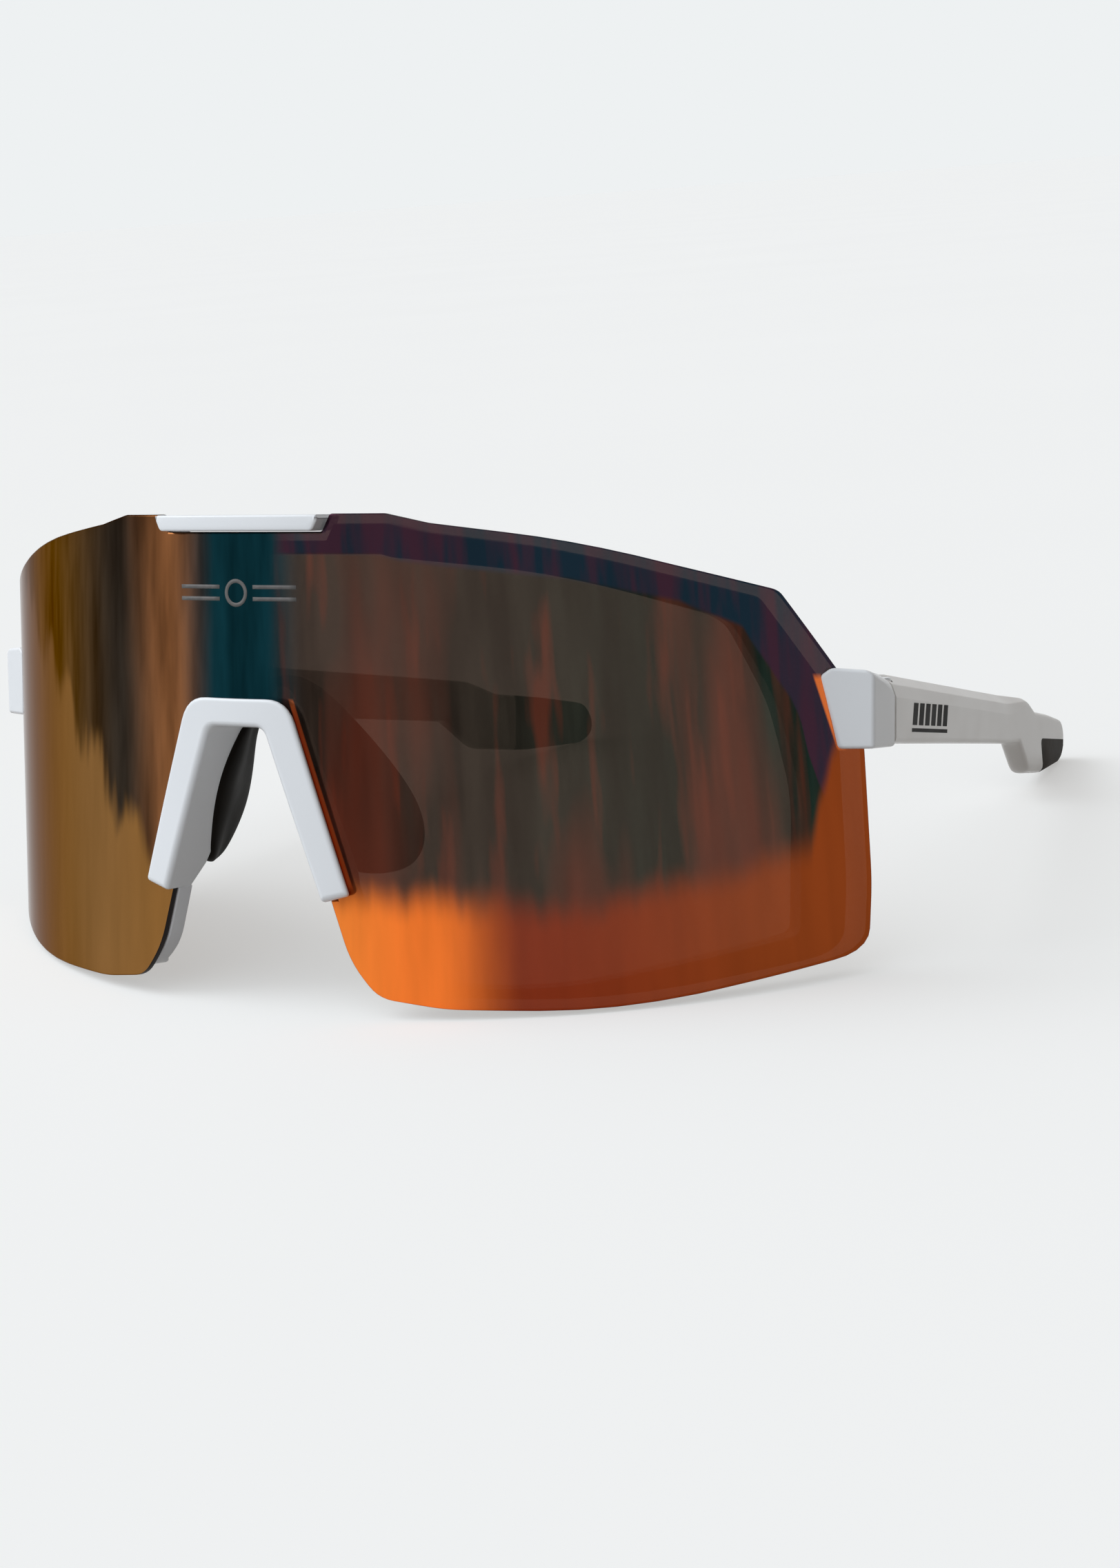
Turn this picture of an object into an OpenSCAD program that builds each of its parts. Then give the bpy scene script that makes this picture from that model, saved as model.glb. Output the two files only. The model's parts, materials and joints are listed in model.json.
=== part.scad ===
// Wraparound sport sunglasses: one-piece cylindrical shield lens on a full rim.
// Everything is drawn in the lens frame: the lens cylinder's axis is upright, its front
// line is x = 0, y = 0, the wearer looks along -Y, and stand() then sets it on the floor.

/* [Lens] */
// Radius of the lens's outer face
lens_r = 81; // [76:0.5:86]
// Thickness of the lens
lens_t = 1.6; // [1.2:0.1:2]
// How far the rim reaches in behind the lens
rim_t = 3; // [2.4:0.1:3.2]

/* [Nose bridge] */
// Thickness of the flange in front of the lens
flange_t = 1.8; // [1.4:0.1:2.2]
// Thickness of the bridge's side walls
wall_t = 1; // [0.8:0.1:1]
// How far back the side walls reach from the lens's front line
wall_back = 7.2; // [6.5:0.1:8]
// Thickness of the rubber nose pad
pad_t = 2; // [1.6:0.1:2.4]

/* [Temples] */
// Inward lean of each temple from straight back, in degrees
sweep = 10.85; // [9:0.05:12]
// Thickness of a temple at the hinge
temple_t = 4.2; // [4:0.1:4.4]
// Thickness of a temple at its rear end
temple_rear_t = 3.2; // [3:0.1:3.6]

/* [Hinge] */
// Radius of the hinge screw's shank
screw_r = 0.7; // [0.6:0.05:0.8]
// Radius of the knuckles round the screw
knuckle_r = 1.9; // [1.8:0.05:1.95]
// Running clearance between the screw and the temple's tongue
run_gap = 0.06; // [0.03:0.01:0.1]
// Gap between parts of different bodies
part_gap = 0.25; // [0.2:0.05:0.3]

/* [Stance] */
// Backward lean of the lens when the glasses stand on lens and temple tips, in degrees
lean = 7.3; // [7:0.05:7.6]

/* [Hidden] */
$fn = 64;
eps = 0.05;
far = 200;

// Place of the lens frame's origin above and ahead of the middle of the floor print
stand_y = -82.23;
stand_z = 4.44;

// Corner of the temple's outer face, where the lens's edge passes inside it
corner = [70.4, 40];
// Hinge axis, from that corner: inward, and back along the temple
hinge_in = 3.2;
hinge_along = 6;
// The seam between end block and temple
seam = 3.9;
temple_len = 126;

// Levels of the hinge: lower ear, tongue, upper ear
ear_low = 29;
tongue_low = 31.4;
tongue_high = 35;
ear_high = 37.1;
head_t = 0.8;
head_r = 1.25;
insert_r = 1.25;

// ---- outlines: points are [across, up, corner radius] ----

function unit(v) = v / norm(v);

// The arc that rounds the corner at b, between its neighbours a and c
function round_corner(a, b, c, r, steps) =
    let (
        ua = unit(a - b),
        uc = unit(c - b),
        half = acos(ua * uc) / 2,
        reach = min(r / tan(half), norm(a - b) * 0.49, norm(c - b) * 0.49),
        radius = reach * tan(half),
        centre = b + unit(ua + uc) * radius / sin(half),
        start = b + ua * reach - centre,
        finish = b + uc * reach - centre,
        from = atan2(start[1], start[0]),
        turn = atan2(finish[1], finish[0]) - from,
        swing = turn > 180 ? turn - 360 : turn < -180 ? turn + 360 : turn
    )
    [for (i = [0:steps]) centre + radius * [cos(from + swing * i / steps), sin(from + swing * i / steps)]];

function at(p) = [p[0], p[1]];

function smooth(path, steps = 5) =
    let (n = len(path))
    [for (i = [0:n - 1])
        each path[i][2] == 0
            ? [at(path[i])]
            : round_corner(at(path[(i + n - 1) % n]), at(path[i]), at(path[(i + 1) % n]), path[i][2], steps)];

// A right half, from the top centre clockwise to the bottom centre, and its mirror image
function both(half) =
    concat(half, [for (i = [len(half) - 1:-1:0]) if (half[i][0] > 0) [-half[i][0], half[i][1], half[i][2]]]);

// Inner edge of the bridge's leg, and the clearance of the lens round the walls
leg_foot = [12.1, 10.65];
leg_slope = 0.373;
arch_top = 31.9;
function leg_x(z) = leg_foot[0] - leg_slope * (z - leg_foot[1]);
notch = wall_t + 0.3;
notch_top = arch_top + notch;

lens_half = [
    [0, 56.2, 0], [12, 56.2, 0], [13.1, 58.4, 0], [20.2, 58.4, 3], [25.5, 57.2, 5],
    [43, 54.85, 190], [61.2, 48.7, 1.8], [67, 36.9, 8], [68.3, 29, 12], [68.95, 12, 80],
    [68.75, 3.2, 4], [48, -2.85, 100], [27, -2.8, 30], [18.6, -1.9, 5], [15, 2.8, 14],
    [leg_foot[0] + 0.3, leg_foot[1], 0], [leg_x(leg_foot[1]) + notch, leg_foot[1], 0],
    [leg_x(notch_top) + notch, notch_top, 2.2], [0, notch_top, 0]
];

// The one big window of the rim
window_half = [
    [0, 54.1, 0], [19.3, 54.1, 1], [20.8, 53, 1], [41, 51, 140], [58, 45.2, 5],
    [62.3, 34.8, 30], [64.5, 23, 40], [64.4, 5.7, 1.5], [43, 0.35, 60], [32, -0.2, 30],
    [18.4, 2.2, 1.5], [15.6, 10.6, 8], [6, 35.2, 3], [0, 35.2, 0]
];

flange_half = [[0, 35.7, 0], [7.9, 35.7, 3], [15.95, 11.85, 0.5], [leg_foot[0], leg_foot[1], 0]];
arch_half = [[0, arch_top, 0], [leg_x(arch_top), arch_top, 1.8], [leg_foot[0], leg_foot[1], 0]];
wall_foot = leg_foot[1] + 0.4;
wall_half = [
    [0, arch_top + wall_t, 0], [leg_x(arch_top + wall_t) + wall_t, arch_top + wall_t, 2],
    [leg_x(wall_foot) + wall_t, wall_foot, 0]
];
// Side view of the walls: shallow by the foot, deeper where they carry the nose pad
wall_side = [
    [-0.6, wall_foot], [4.4, wall_foot], [4.4, 12.4], [wall_back, 13.6], [wall_back, 40], [-0.6, 40]
];

// Side view of a temple, from the seam to the rear end, along and up
temple_side = [
    [seam, 28.9, 0], [seam, 37.8, 0], [92, 28.8, 8], [99.5, 26.2, 6], [112, 24.8, 20],
    [123, 23.2, 3.5], [temple_len, 18.5, 6], [122.5, 16, 5], [107, 15.7, 30], [94, 16.8, 4.5],
    [86.5, 22.1, 3], [40, 25.95, 0]
];

// Side view of a nose pad's wing: back and up, from its front edge on the wall
wing_side = [
    [0, -17.8, 1], [0, 3.6, 1.5], [3.2, 4.6, 2], [8.6, -4, 8], [12.1, -14, 4], [7.6, -19.6, 3]
];

// ---- helpers ----

module stand() translate([0, stand_y, stand_z]) rotate([-lean, 0, 0]) children();

// Draws a front-view outline as a prism that runs from y0 back to y1
module through(y0, y1) translate([0, y1, 0]) rotate([90, 0, 0]) linear_extrude(y1 - y0) children();

// The part of the lens cylinder between two radii
module shell(r_in, r_out) translate([0, lens_r, -far / 2]) difference() {
    cylinder(r = r_out, h = far, $fn = 180);
    translate([0, 0, -1]) cylinder(r = r_in, h = far + 2, $fn = 180);
}

module filled(half) polygon(smooth(both(half)));

// Mirrors a right-hand piece to the left
module left() mirror([1, 0, 0]) children();

// The temple's own frame: x outward from its outer face, y back along it
module on_temple() translate([corner[0], corner[1], 0]) rotate([0, 0, sweep]) children();

module on_hinge() on_temple() translate([-hinge_in, hinge_along, 0]) children();

// A side-view outline as a slab between two depths inward of the outer face
module slab(depth0, depth1) translate([-depth1, 0, 0]) rotate([90, 0, 90])
    linear_extrude(depth1 - depth0) children();

// ---- front ----

// The sector of the lens cylinder within an angle either side of the front line
module sector(half_angle) translate([0, lens_r, -far / 2]) linear_extrude(far) polygon([
    [0, 0], far * [-sin(half_angle), -cos(half_angle)], [0, -2 * far], far * [sin(half_angle), -cos(half_angle)]
]);

module lens() color("orangered") stand() intersection() {
    through(-2, 50) filled(lens_half);
    shell(lens_r - lens_t, lens_r);
    sector(58.35);
}

// Draws an outline in towards the nose, more so further out, since the rim's cylinder is tighter
function narrow(half) = [for (p = half) [p[0] - 0.045 * max(0, p[0] - 14), p[1], p[2]]];
// Draws an outline in towards its middle height
function lower(half) = [for (p = half) [p[0], 28 + 0.985 * (p[1] - 28), p[2]]];

// The rim is a little smaller than the lens all round and ends in a flat rear face
module frame_rim() color("whitesmoke") stand() difference() {
    intersection() {
        through(0, 41) difference() {
            filled(narrow(lower(lens_half)));
            filled(narrow(window_half));
        }
        shell(lens_r - lens_t - rim_t, lens_r - lens_t - 0.02);
        sector(57.4);
    }
    // Shallower each side of the nose notch
    translate([-17.6, 4.4, -5]) cube([2 * 17.6, 10, 17.6]);
}

// A keystone that drops into the lens's top notch and locks it to the rim
module brow_clip() color("white") stand() {
    proud = 1.8;
    slack = 0.1;
    top_z = 58.3;
    foot_z = 56.2 + slack;
    intersection() {
        through(-3, 10) polygon([[-12, foot_z], [12, foot_z], [13, top_z], [-13, top_z]]);
        shell(lens_r - lens_t - rim_t, lens_r + proud);
    }
}

module nose_bridge() color("white") stand() {
    difference() {
        union() {
            intersection() {
                through(-4, 6) filled(flange_half);
                shell(lens_r + 0.02, lens_r + flange_t);
            }
            intersection() {
                through(-0.6, wall_back) filled(wall_half);
                rotate([90, 0, 90]) linear_extrude(60, center = true) polygon(wall_side);
            }
        }
        through(-6, 20) translate([0, -0.01]) filled(arch_half);
    }
}

// A saddle of rubber: an arch over the top and two wings that follow the walls and splay
module nose_pad() color("black") stand() {
    crest_back = 11;
    splay = 17;
    front = wall_back + eps;
    difference() {
        through(front, crest_back) polygon(smooth(both([
            [0, 38.4, 0], [4.6, 38.4, 3.5], [7.6, 29.5, 0], [5.2, 29.5, 0]
        ])));
        through(front - 1, crest_back + 1) polygon(smooth(both([
            [0, 35.4, 0], [2.9, 35.4, 2], [5.6, 29, 0], [0, 29, 0]
        ])));
    }
    for (side = [0, 1]) mirror([side, 0, 0])
        translate([5.6, front, 31]) rotate([0, -atan(leg_slope), 0]) rotate([0, 0, -splay])
            rotate([90, 0, 90]) linear_extrude(pad_t) polygon(smooth(wing_side));
}

// ---- end blocks: they grip the lens's edge and carry the ears of the hinge ----

module end_block() {
    front_left = [65, 32];
    front_right = [70.7, 35];
    inner = 62.6;
    seat_gap = 0.05;
    difference() {
        union() {
            // The cap round the lens's edge, with its slanted inboard end
            difference() {
                translate([0, 0, 28.3]) linear_extrude(10.6) polygon(smooth([
                    [front_left[0], front_left[1], 0.4], [front_right[0], front_right[1], 1],
                    [69.72, 43.55, 0], [64.3, 42.5, 0], [inner, 41.1, 0], [inner, 36, 0]
                ]));
                // Top and bottom follow the temple's lines
                on_temple() slab(-4, 20) polygon([[-8, 38.8], [-2, 38.3], [8, 37.3], [8, 45], [-8, 45]]);
                on_temple() slab(-4, 20) polygon([[-14, 29.6], [8, 28.3], [8, 20], [-14, 20]]);
                // Inboard end slants outward towards the bottom
                through(20, 36) polygon([[60, 20], [67, 20], [66.9, 29], [65.2, 38.9], [60, 50]]);
            }
            // Ears on a neck
            on_hinge() difference() {
                translate([0, 0, ear_low]) linear_extrude(ear_high - ear_low) union() {
                    circle(r = knuckle_r);
                    polygon([[-knuckle_r, 0], [-knuckle_r, -3], [1.5, -3], [1.5, -1.16], [0.5, 0]]);
                }
                translate([0, 0, tongue_low - part_gap])
                    cylinder(r = knuckle_r + part_gap + 0.1, h = tongue_high - tongue_low + 2 * part_gap);
            }
        }
        // Seat for the lens and the rim
        intersection() {
            through(20, 41.1) polygon([[50, 20], [68.85, 20], [68.85, 26], [68.4, 29.4], [67.1, 37.2], [66, 39.5], [50, 50]]);
            shell(lens_r - lens_t - rim_t - seat_gap, lens_r + seat_gap);
        }
        intersection() {
            through(20, 45) polygon([[50, 20], [69.05, 20], [69.05, 26], [68.6, 29.4], [67.3, 37.2], [66.2, 39.5], [50, 50]]);
            shell(lens_r - lens_t - seat_gap, lens_r + seat_gap);
        }
        // Screw hole, head recess and seat of the threaded insert
        on_hinge() translate([0, 0, 20]) cylinder(r = screw_r + 0.04, h = 30, $fn = 32);
        on_hinge() translate([0, 0, ear_high - head_t]) cylinder(r = head_r + eps, h = 5, $fn = 32);
        on_hinge() translate([0, 0, ear_low - 2]) cylinder(r = insert_r + 0.01, h = tongue_low - part_gap - ear_low + 1.6);
    }
}

module hinge_screw() on_hinge() difference() {
    union() {
        translate([0, 0, ear_low + 0.2]) cylinder(r = screw_r, h = ear_high - ear_low - 0.6, $fn = 32);
        translate([0, 0, ear_high - head_t + 0.02]) cylinder(r = head_r, h = head_t - 0.05, $fn = 32);
    }
    // Cross slot
    for (turn = [0, 90]) rotate([0, 0, turn]) translate([-0.8, -0.15, ear_high - 0.35]) cube([1.6, 0.3, 1]);
}

module hinge_insert() on_hinge() translate([0, 0, ear_low + 0.02]) difference() {
    height = tongue_low - part_gap - ear_low - 0.45;
    cylinder(r = insert_r, h = height, $fn = 32);
    translate([0, 0, -1]) cylinder(r = screw_r + 0.02, h = height + 2, $fn = 32);
}

// ---- temples ----

// Where the rubber end shows on the outer side, and its full height on the inner side
rubber_top = 21.6;
rubber_side = [[103.6, rubber_top, 1], [109, 10, 0], [140, 10, 0], [140, rubber_top, 0]];
pad_side = [[104, 10], [104, 40], [140, 40], [140, 10]];
pad_depth = 1.2;

module temple_body() difference() {
    slab(0, temple_t) polygon(smooth(temple_side, 6));
    // Inner face tapers to the rear thickness
    translate([-temple_t, 14, 0]) rotate([0, 0, -atan((temple_t - temple_rear_t) / 80)])
        translate([-5, 0, 0]) cube([5, far, 60]);
    // Two flats along the upper outer edge
    for (flat = [[3, 70], [1.35, 33]])
        translate([0, 0, 38.2 - flat[0]]) rotate([-5.8, 0, 0]) rotate([0, -90 + flat[1], 0])
            translate([0, -10, 0]) cube([20, 100, 20]);
}

// What the rubber end takes up: a corner on the outer side, the full height inside
module rubber_zone() {
    slab(-1, 10) polygon(smooth(rubber_side));
    slab(temple_rear_t - pad_depth, 10) polygon(pad_side);
}

module temple() {
    difference() {
        on_temple() difference() {
            temple_body();
            rubber_zone();
        }
        on_hinge() translate([0, 0, 20]) cylinder(r = knuckle_r + part_gap, h = 30);
        // Clears the ears' neck
        on_hinge() translate([-10, -4, 20]) cube([10 + 1.7, 4, 30]);
    }
    // Tongue between the ears
    on_hinge() difference() {
        translate([0, 0, tongue_low]) linear_extrude(tongue_high - tongue_low) union() {
            circle(r = knuckle_r);
            polygon([[-1, 0], [knuckle_r, 0], [knuckle_r, 3], [-1, 3]]);
        }
        translate([0, 0, 20]) cylinder(r = screw_r + run_gap, h = 30, $fn = 32);
    }
}

module temple_tip() on_temple() intersection() {
    temple_body();
    rubber_zone();
}

module end_block_right() color("white") stand() end_block();
module end_block_left() color("white") stand() left() end_block();
module hinge_screw_right() color("silver") stand() hinge_screw();
module hinge_screw_left() color("silver") stand() left() hinge_screw();
module hinge_insert_right() color("goldenrod") stand() hinge_insert();
module hinge_insert_left() color("goldenrod") stand() left() hinge_insert();
module temple_right() color("gainsboro") stand() temple();
module temple_left() color("gainsboro") stand() left() temple();
module temple_tip_right() color("dimgray") stand() temple_tip();
module temple_tip_left() color("dimgray") stand() left() temple_tip();

frame_rim();
lens();
brow_clip();
nose_bridge();
nose_pad();
end_block_left();
end_block_right();
hinge_screw_left();
hinge_screw_right();
hinge_insert_left();
hinge_insert_right();
temple_left();
temple_right();
temple_tip_left();
temple_tip_right();
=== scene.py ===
# Wraparound sport sunglasses: one curved mirror lens on a full white rim, two folding temples.
# The file goes through the glasses in the order they are put together.
import json
import math

import bmesh
import bpy
import numpy as np
from mathutils import Matrix, Vector
from mathutils.geometry import delaunay_2d_cdt


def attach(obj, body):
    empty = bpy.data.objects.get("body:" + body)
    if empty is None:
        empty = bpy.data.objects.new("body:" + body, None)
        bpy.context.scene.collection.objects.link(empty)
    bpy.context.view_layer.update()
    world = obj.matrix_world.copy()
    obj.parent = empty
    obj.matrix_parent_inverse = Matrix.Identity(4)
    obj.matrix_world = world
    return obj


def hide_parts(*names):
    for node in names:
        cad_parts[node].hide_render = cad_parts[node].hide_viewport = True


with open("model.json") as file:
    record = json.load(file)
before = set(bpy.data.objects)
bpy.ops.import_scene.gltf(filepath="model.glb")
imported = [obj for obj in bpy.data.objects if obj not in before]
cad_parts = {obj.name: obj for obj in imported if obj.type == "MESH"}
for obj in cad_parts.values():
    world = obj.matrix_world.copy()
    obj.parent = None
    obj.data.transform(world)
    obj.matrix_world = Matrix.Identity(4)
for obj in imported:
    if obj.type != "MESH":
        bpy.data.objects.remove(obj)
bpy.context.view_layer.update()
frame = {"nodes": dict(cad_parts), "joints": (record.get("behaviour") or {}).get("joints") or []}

# ---------------------------------------------------------------- lens
# One shield of thin smoke polycarbonate, bent to a cylinder and mirror coated in front.
# It is cut to its outline with a polished round edge, and a notch at the nose and one at the brow.

# The glasses lean back as they stand; this puts millimetres of the upright lens into the scene
fold = next(j for j in frame["joints"] if j["name"] == "right_temple_fold")
lean = math.atan2(fold["axis"][1], fold["axis"][2])
lens_up = (0.0, math.sin(lean), math.cos(lean))
hinge_in_lens = Vector((66.128, 45.290, 33.0))
upright = Matrix.Rotation(-lean, 4, "X") @ Matrix.Scale(0.001, 4)
stand = Matrix.Translation(Vector(fold["pos_m"]) - upright @ hinge_in_lens) @ upright

# Outer radius of the bend and thickness of the edge, in millimetres as all sizes here
lens_r = 81.0
lens_t = 1.1


def rounded(corners, steps=5, closed=True):
    """A path through corners of (across, up, radius), each one rounded."""
    path = []
    last = len(corners) - 1
    for i, (x, z, r) in enumerate(corners):
        here = Vector((x, z))
        if r == 0 or (not closed and i in (0, last)):
            path.append(here)
            continue
        back = Vector(corners[i - 1][:2]) - here
        ahead = Vector(corners[(i + 1) % len(corners)][:2]) - here
        most = 0.49 * min(back.length, ahead.length)
        reach = min(r / math.tan(back.angle(ahead) / 2), most)
        start = here + back.normalized() * reach
        end = here + ahead.normalized() * reach
        for k in range(steps + 1):
            t = k / steps
            path.append(start.lerp(here, t).lerp(here.lerp(end, t), t))
    return path


def both(half):
    """A right half from top to bottom, and its mirror image."""
    return half + [(-x, z, r) for x, z, r in reversed(half) if x > 0]


def spaced(path, gap):
    """The closed path with no step longer than gap."""
    out = []
    for i, a in enumerate(path):
        b = path[(i + 1) % len(path)]
        count = max(1, math.ceil((b - a).length / gap))
        out += [a.lerp(b, k / count) for k in range(count)]
    return out


def within(points, loop):
    """Which points lie inside the loop, and how far each is from its edge."""
    p = np.array(points)[:, None, :]
    a = np.array([tuple(v) for v in loop])[None]
    b = np.roll(a, -1, axis=1)
    rise = b[..., 1] - a[..., 1]
    rise = np.where(rise == 0, 1e-12, rise)
    crosses = (a[..., 1] > p[..., 1]) != (b[..., 1] > p[..., 1])
    left = p[..., 0] < a[..., 0] + (p[..., 1] - a[..., 1]) * (b[..., 0] - a[..., 0]) / rise
    edge = b - a
    t = np.clip(((p - a) * edge).sum(-1) / (edge * edge).sum(-1), 0, 1)
    away = np.linalg.norm(p - a - t[..., None] * edge, axis=-1).min(1)
    return (crosses & left).sum(1) % 2 == 1, away


def bent(x, z, r):
    """A point x across and z up on the lens's outer face, moved in or out to radius r."""
    a = math.asin(max(-1.0, min(1.0, x / lens_r)))
    return Vector((r * math.sin(a), lens_r - r * math.cos(a), z))


weld_gap = 1e-7


def piece(name, verts, faces, to_scene=stand):
    """A smooth-shaded object at the origin, its place in its mesh."""
    mesh = bpy.data.meshes.new(name)
    mesh.from_pydata([to_scene @ Vector(v) for v in verts], [], faces)
    work = bmesh.new()
    work.from_mesh(mesh)
    bmesh.ops.remove_doubles(work, verts=work.verts, dist=weld_gap)
    bmesh.ops.recalc_face_normals(work, faces=work.faces)
    work.to_mesh(mesh)
    work.free()
    mesh.polygons.foreach_set("use_smooth", [True] * len(mesh.polygons))
    obj = bpy.data.objects.new(name, mesh)
    bpy.context.scene.collection.objects.link(obj)
    return obj


def turned_forward(skin):
    """Turns an open skin so that its faces look to the front."""
    if sum(p.normal.y for p in skin.data.polygons) > 0:
        skin.data.flip_normals()


def sheet(name, r, outline, holes=(), grid=1.5):
    """A skin at radius r inside the outline, its cells regular so the gloss stays even."""
    loops = [spaced([Vector((lens_r * math.asin(p.x / lens_r), p.y)) for p in loop], grid)
             for loop in (outline, *holes)]
    points = [p for loop in loops for p in loop]
    edges = []
    first = 0
    for loop in loops:
        n = len(loop)
        edges += [(first + k, first + (k + 1) % n) for k in range(n)]
        first += n
    low_x, high_x = min(p.x for p in points), max(p.x for p in points)
    low_z, high_z = min(p.y for p in points), max(p.y for p in points)
    inner = [(grid * i, grid * k)
             for i in range(math.ceil(low_x / grid), math.floor(high_x / grid) + 1)
             for k in range(math.ceil(low_z / grid), math.floor(high_z / grid) + 1)]
    clear = 0.55 * grid
    inside, away = within(inner, loops[0])
    keep = inside & (away > clear)
    for hole in loops[1:]:
        in_hole, away = within(inner, hole)
        keep &= ~in_hole & (away > clear)
    points += [Vector(p) for p, k in zip(inner, keep) if k]
    flat, _, faces, *_ = delaunay_2d_cdt(points, edges, [], 1, 1e-6)
    middle = [sum((flat[i] for i in f), Vector((0, 0))) / len(f) for f in faces]
    keep = within(middle, loops[0])[0]
    for hole in loops[1:]:
        keep &= ~within(middle, hole)[0]
    faces = [f for f, k in zip(faces, keep) if k]
    verts = [bent(lens_r * math.sin(p.x / lens_r), p.y, r) for p in flat]
    obj = piece(name, verts, faces)
    turned_forward(obj)
    return obj


def solidify(obj, thickness, **more):
    """A live wall, grown backwards from the skin; thickness in millimetres."""
    wall = obj.modifiers.new("wall", "SOLIDIFY")
    wall.thickness = thickness / 1000
    wall.offset = -1
    wall.use_even_offset = True
    for key, value in more.items():
        setattr(wall, key, value)


def bevel(obj, width, segments=3, angle=35):
    """Live rounded edges with even shading; width in millimetres, angle in degrees."""
    edge = obj.modifiers.new("edges", "BEVEL")
    edge.width = width / 1000
    edge.segments = segments
    edge.limit_method = "ANGLE"
    edge.angle_limit = math.radians(angle)
    edge.use_clamp_overlap = False
    obj.modifiers.new("normals", "WEIGHTED_NORMAL").keep_sharp = True


def tree(name):
    """A new node material: its nodes, a wire-up call and its output."""
    material = bpy.data.materials.new(name)
    material.use_nodes = True
    nodes = material.node_tree.nodes
    nodes.clear()
    return material, nodes, material.node_tree.links.new, nodes.new("ShaderNodeOutputMaterial")


def ramp(nodes, stops, smooth="LINEAR"):
    """A colour ramp from (place, colour) stops."""
    node = nodes.new("ShaderNodeValToRGB")
    node.color_ramp.interpolation = smooth
    for _ in range(len(stops) - 2):
        node.color_ramp.elements.new(0.5)
    for element, (place, colour) in zip(node.color_ramp.elements, stops):
        element.position = place
        element.color = (*colour[:3], colour[3] if len(colour) == 4 else 1)
    return node


def math_node(nodes, link, operation, a, b=None, c=None):
    """One sum in a node material; a, b and c are numbers or sockets."""
    node = nodes.new("ShaderNodeMath")
    node.operation = operation
    for socket, value in zip(node.inputs, (a, b, c)):
        if isinstance(value, (int, float)):
            socket.default_value = value
        elif value is not None:
            link(value, socket)
    return node.outputs[0]


def noise(nodes, link, vector, scale, detail=2, rough=0.5):
    """A soft random pattern between 0 and 1."""
    node = nodes.new("ShaderNodeTexNoise")
    node.inputs["Scale"].default_value = scale
    node.inputs["Detail"].default_value = detail
    node.inputs["Roughness"].default_value = rough
    link(vector, node.inputs["Vector"])
    return node.outputs["Fac"]


def span(nodes, link, value, low, high, new_low=0.0, new_high=1.0, kind="LINEAR"):
    """Maps low to high onto new_low to new_high, and holds beyond them."""
    node = nodes.new("ShaderNodeMapRange")
    node.interpolation_type = kind
    link(value, node.inputs["Value"])
    for socket, number in zip(node.inputs[1:5], (low, high, new_low, new_high)):
        socket.default_value = number
    return node.outputs[0]


def stretched(nodes, link, vector, scale):
    """The pattern's place scaled by its own amount along each axis."""
    node = nodes.new("ShaderNodeMapping")
    node.inputs["Scale"].default_value = scale
    link(vector, node.inputs["Vector"])
    return node.outputs[0]


lens_half = [
    (0, 56.2, 0), (12, 56.2, 0), (13.1, 58.4, 0), (20.2, 58.4, 3), (25.5, 57.2, 5), (43, 54.85, 190),
    (61.2, 48.7, 1.8), (67, 36.9, 8), (68.3, 29, 12), (68.95, 12, 80), (68.75, 3.2, 4),
    (48, -2.55, 100), (27, -2.6, 30), (18.6, -1.5, 5), (15, 2.8, 14), (12.4, 10.65, 0),
    (13.4, 10.65, 0), (5.0, 33.2, 2.2), (0, 33.2, 0),
]
lens = sheet("lens_shield", lens_r, rounded(both(lens_half)))
solidify(lens, lens_t, material_offset=1, material_offset_rim=2)
bevel(lens, 0.3)

# Coating: a few broad zones across the lens, each stop as millimetres across and (red, green, blue,
# solidity).
# The colours are partly the coating's own and partly painted reflection of the surroundings: bright orange
# low down where the floor is mirrored, darker above, gold-brown on the left. What isn't solid lets the smoke
# tint through; streaks break the zones up.
upper_coat_and_reflection_tints = [
    (-67, (0.25, 0.17, 0.13, 1)), (-45, (0.18, 0.10, 0.04, 1)), (-22, (0.03, 0.025, 0.02, 1)),
    (-12, (0.20, 0.08, 0.03, 1)), (-4, (0.004, 0.03, 0.04, 1)), (4, (0.004, 0.03, 0.04, 1)),
    (10, (0.03, 0.02, 0.015, 0.92)), (67, (0.01, 0.02, 0.015, 0.92)),
]
foot_coat_and_floor_reflection_tints = [
    (-67, (0.35, 0.25, 0.20, 1)), (-35, (0.28, 0.15, 0.06, 1)), (-12, (0.28, 0.13, 0.035, 1)),
    (10, (0.95, 0.25, 0.04, 1)), (25, (0.95, 0.20, 0.03, 1)), (36, (0.22, 0.03, 0.01, 0.95)),
    (67, (0.26, 0.05, 0.01, 0.95)),
]
# How high the bottom colours reach, and where the painted shade band of the rim starts, across the lens
foot_reach = [(-67, 60), (-30, 30), (-15, 12), (45, 10), (64, 17), (66, 33)]
painted_rim_shade_foot = [
    (-67, 62), (3.9, 62), (4, 53.5), (19, 53.4), (22, 52.6), (41, 50.4), (52, 47.6), (57.9, 44.4),
    (62.6, 35), (64.7, 24), (67, 16),
]

coat, nodes, link, out = tree("mirror_coat_painted_reflections")
place = nodes.new("ShaderNodeTexCoord").outputs["Object"]
parts = nodes.new("ShaderNodeSeparateXYZ")
link(place, parts.inputs[0])
up = nodes.new("ShaderNodeVectorMath")
up.operation = "DOT_PRODUCT"
up.inputs[1].default_value = lens_up
link(place, up.inputs[0])
foot_level = Vector(lens_up).dot(stand.translation)
height = span(nodes, link, up.outputs["Value"], foot_level, foot_level + 0.060, 0.0, 60.0)
# The streaks wander a little from straight
wander = noise(nodes, link, stretched(nodes, link, place, (60, 60, 25)), 1.0, 3)
wander = math_node(nodes, link, "SUBTRACT", wander, 0.5)
across = math_node(nodes, link, "MULTIPLY_ADD", wander, 0.003, parts.outputs["X"])
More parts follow.
